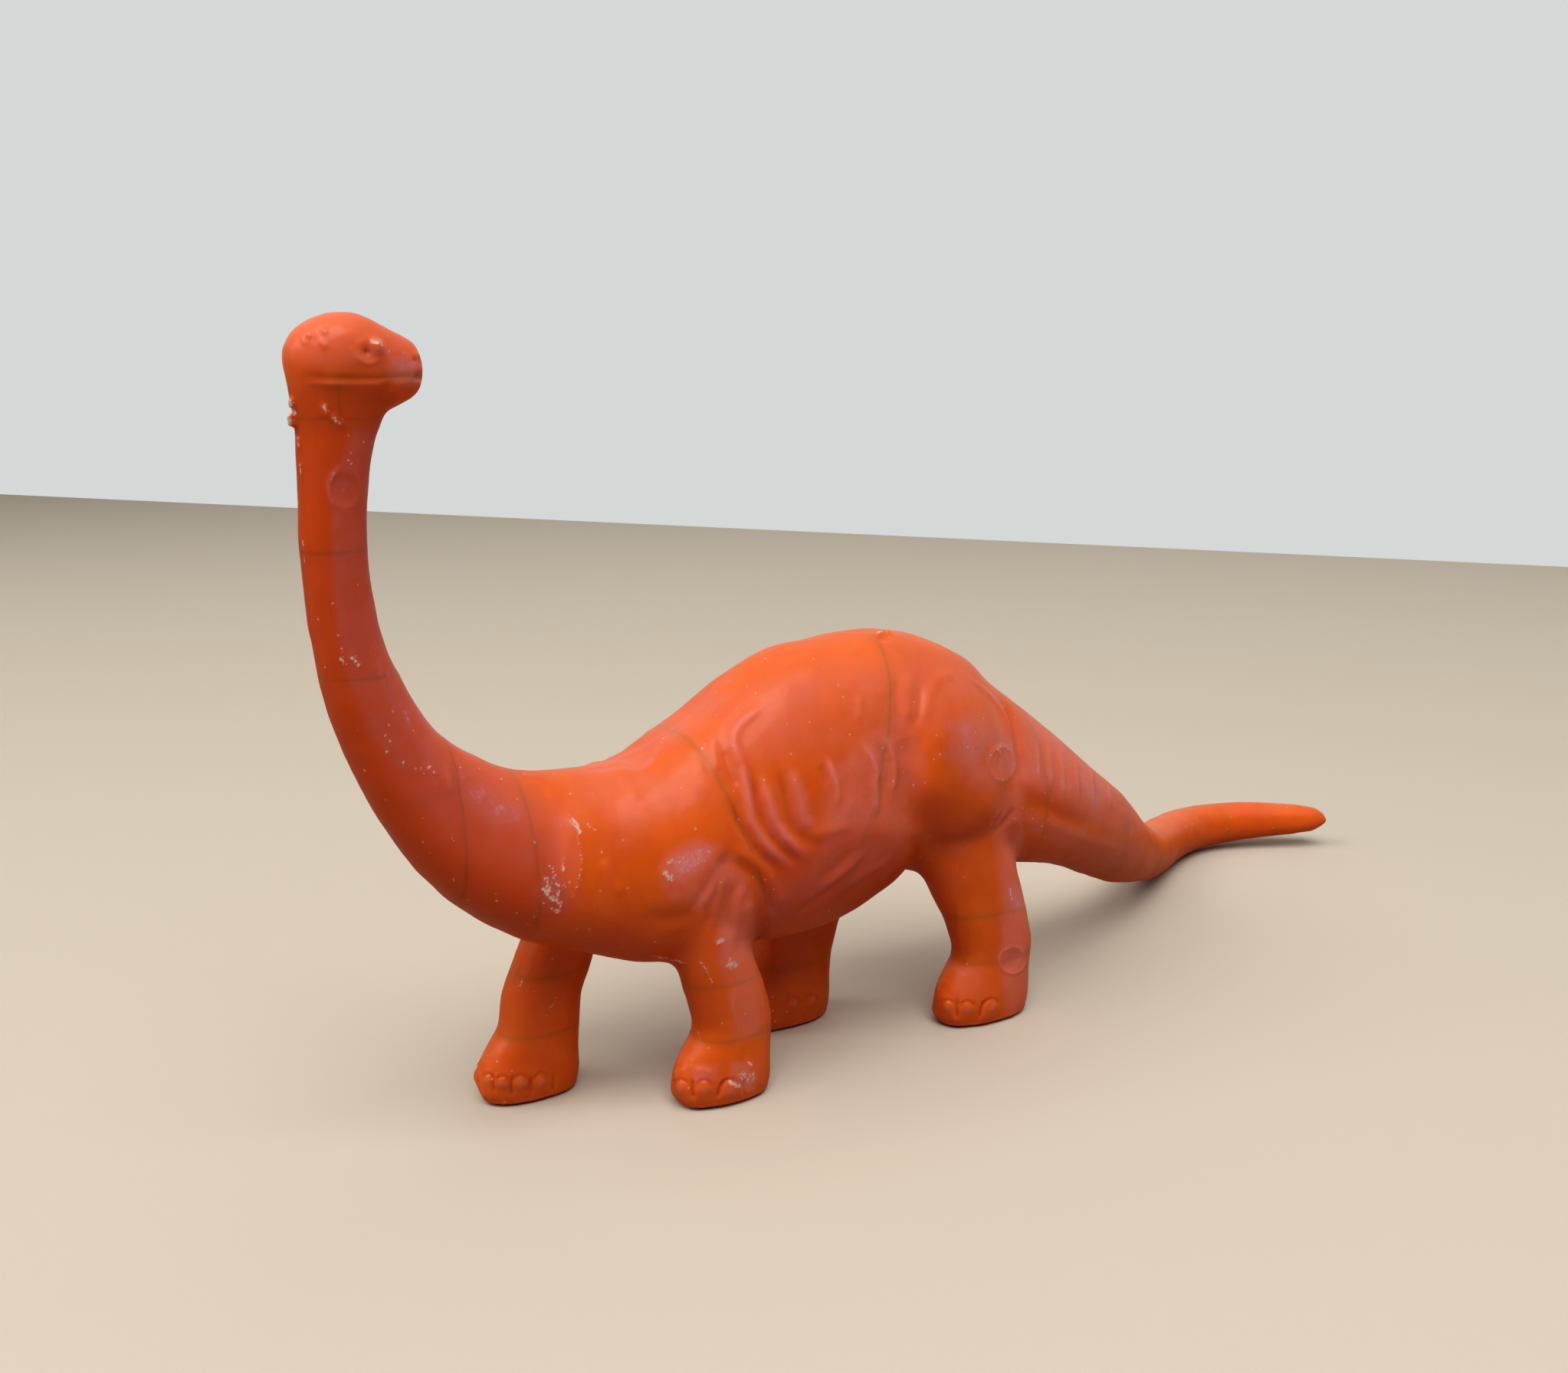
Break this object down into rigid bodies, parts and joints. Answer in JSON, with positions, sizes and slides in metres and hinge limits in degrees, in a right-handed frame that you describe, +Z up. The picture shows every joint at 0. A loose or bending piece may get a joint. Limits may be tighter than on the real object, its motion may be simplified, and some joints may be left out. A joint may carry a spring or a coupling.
{
  "type": "toy dinosaur figure",
  "caption": "Small soft-plastic long-necked dinosaur, standing on flat feet, with its head turned back over its body and its tail swept to one side.",
  "frame": {"origin": "on the ground under the middle of the figure's box, level with the soles", "axes": "-X the way the chest and toes point, +X along the tail, -Y the figure's left flank, +Z up"},
  "size_m": [0.1226, 0.027, 0.06],
  "materials": {
    "plastic": "waxy soft plastic with a satin sheen, pale bloom and fine scuffs"
  },
  "bodies": {
    "root": {"left_fore_foot": "plastic", "left_fore_leg": "plastic", "left_hind_foot": "plastic", "left_hind_leg": "plastic", "right_fore_foot": "plastic", "right_fore_leg": "plastic", "right_hind_foot": "plastic", "right_hind_leg": "plastic", "lower_jaw": "plastic", "head": "plastic", "neck_upper": "plastic", "neck_middle": "plastic", "neck_base": "plastic", "chest": "plastic", "shoulders": "plastic", "rib_cage": "plastic", "hips": "plastic", "tail_root": "plastic", "tail_middle": "plastic", "tail_sweep": "plastic", "tail_tip": "plastic"}
  },
  "joints": []
}
